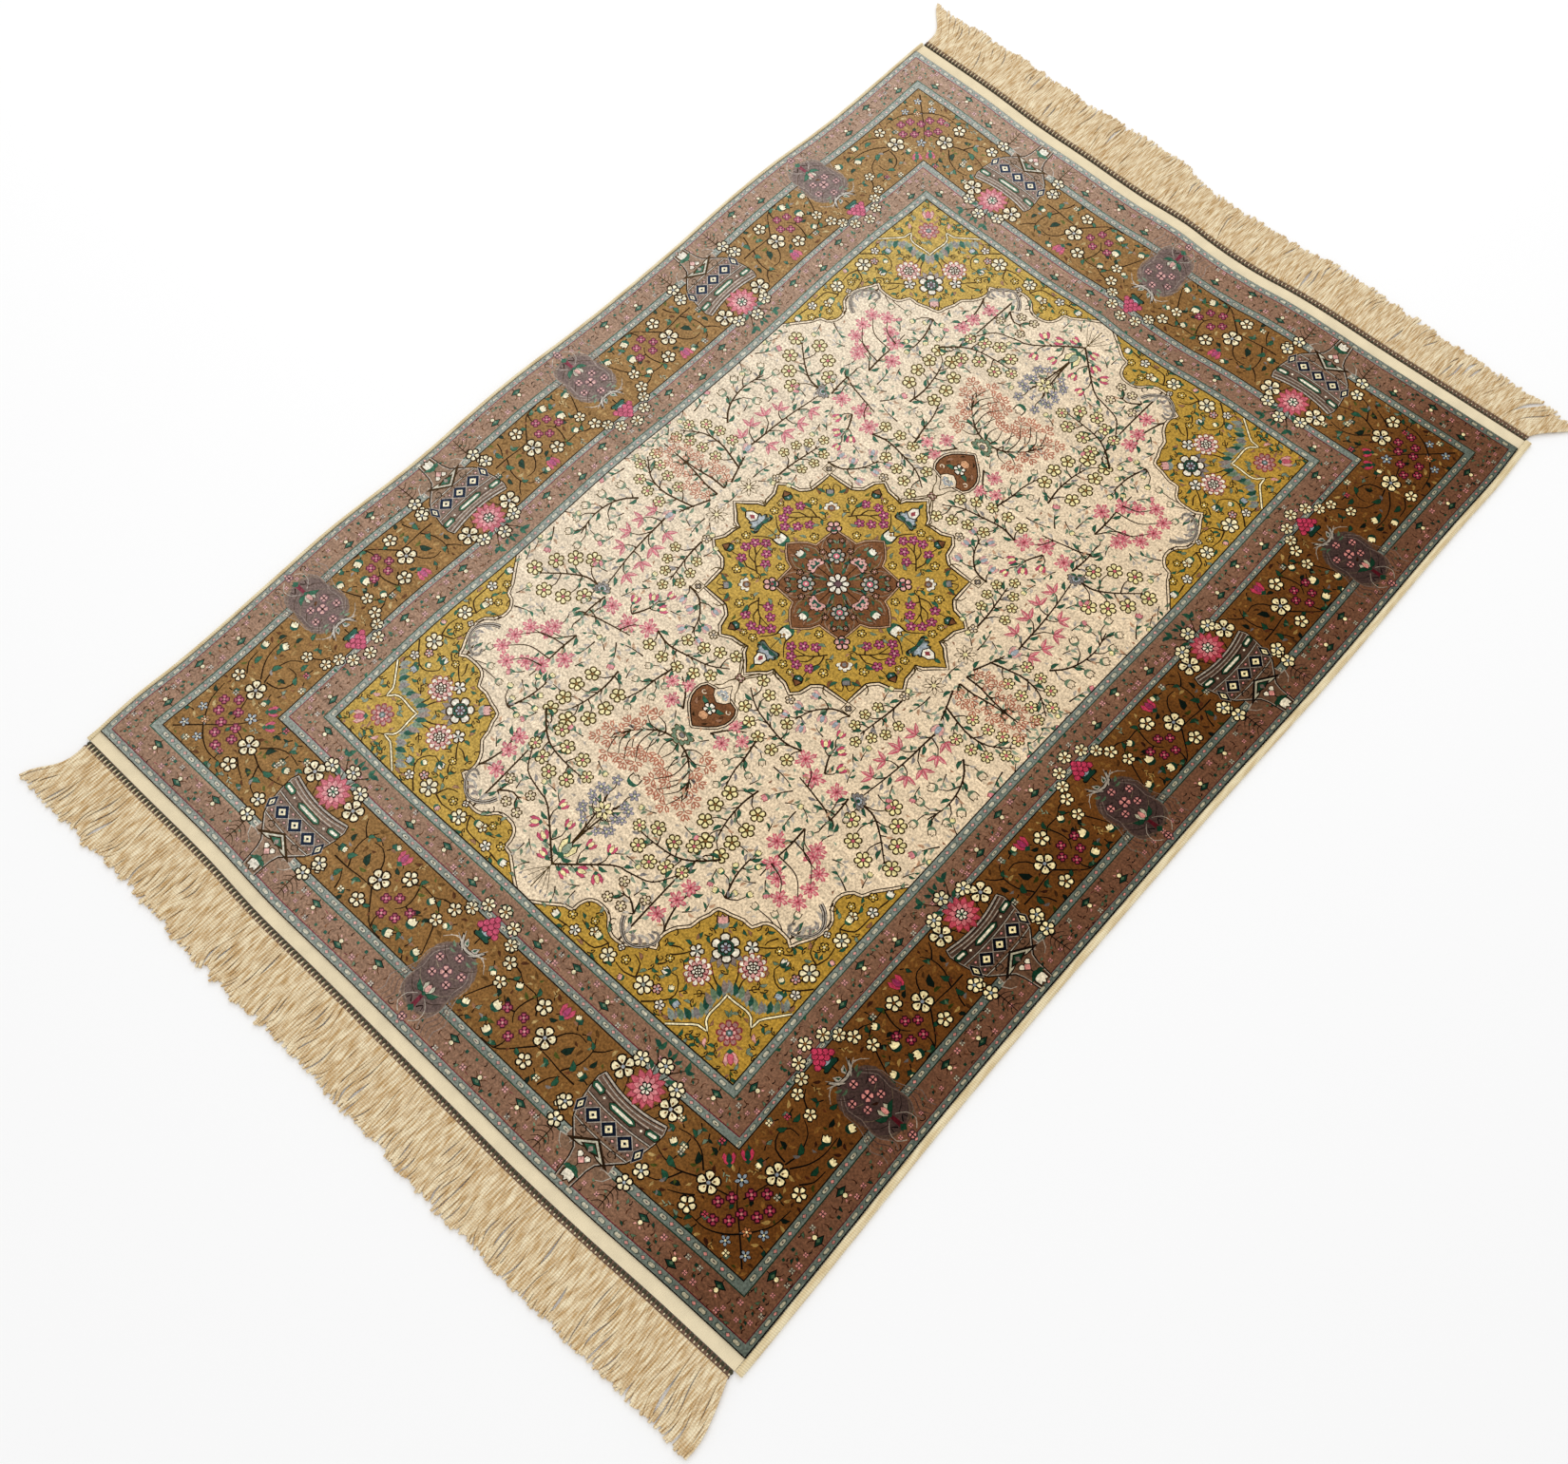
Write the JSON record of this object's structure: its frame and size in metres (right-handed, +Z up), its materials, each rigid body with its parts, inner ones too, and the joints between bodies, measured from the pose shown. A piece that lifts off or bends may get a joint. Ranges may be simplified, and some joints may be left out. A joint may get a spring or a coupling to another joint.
{
  "type": "persian rug",
  "caption": "Flat rectangular hand-knotted rug with a floral pile, overcast sides, flat-woven ends and a fringe at both ends.",
  "frame": {"origin": "middle of the pile rectangle, on the floor under the rug", "axes": "+Y along the rug's length towards its far end, +X across it, +Z up from the floor"},
  "size_m": [1.0739, 1.655, 0.005],
  "materials": {
    "silk_pile": "short dense silk pile with a soft sheen, floral pattern in ivory, gold, camel, dusty pink and grey-blue",
    "selvedge_silk": "cream silk overcasting over a cord",
    "fringe_silk": "cream twisted silk warp ends with a twined olive and brown heading"
  },
  "bodies": {
    "root": {"woven_rug": "silk_pile", "selvedge_left": "selvedge_silk", "selvedge_right": "selvedge_silk", "fringe_near": "fringe_silk", "fringe_far": "fringe_silk"}
  },
  "joints": []
}
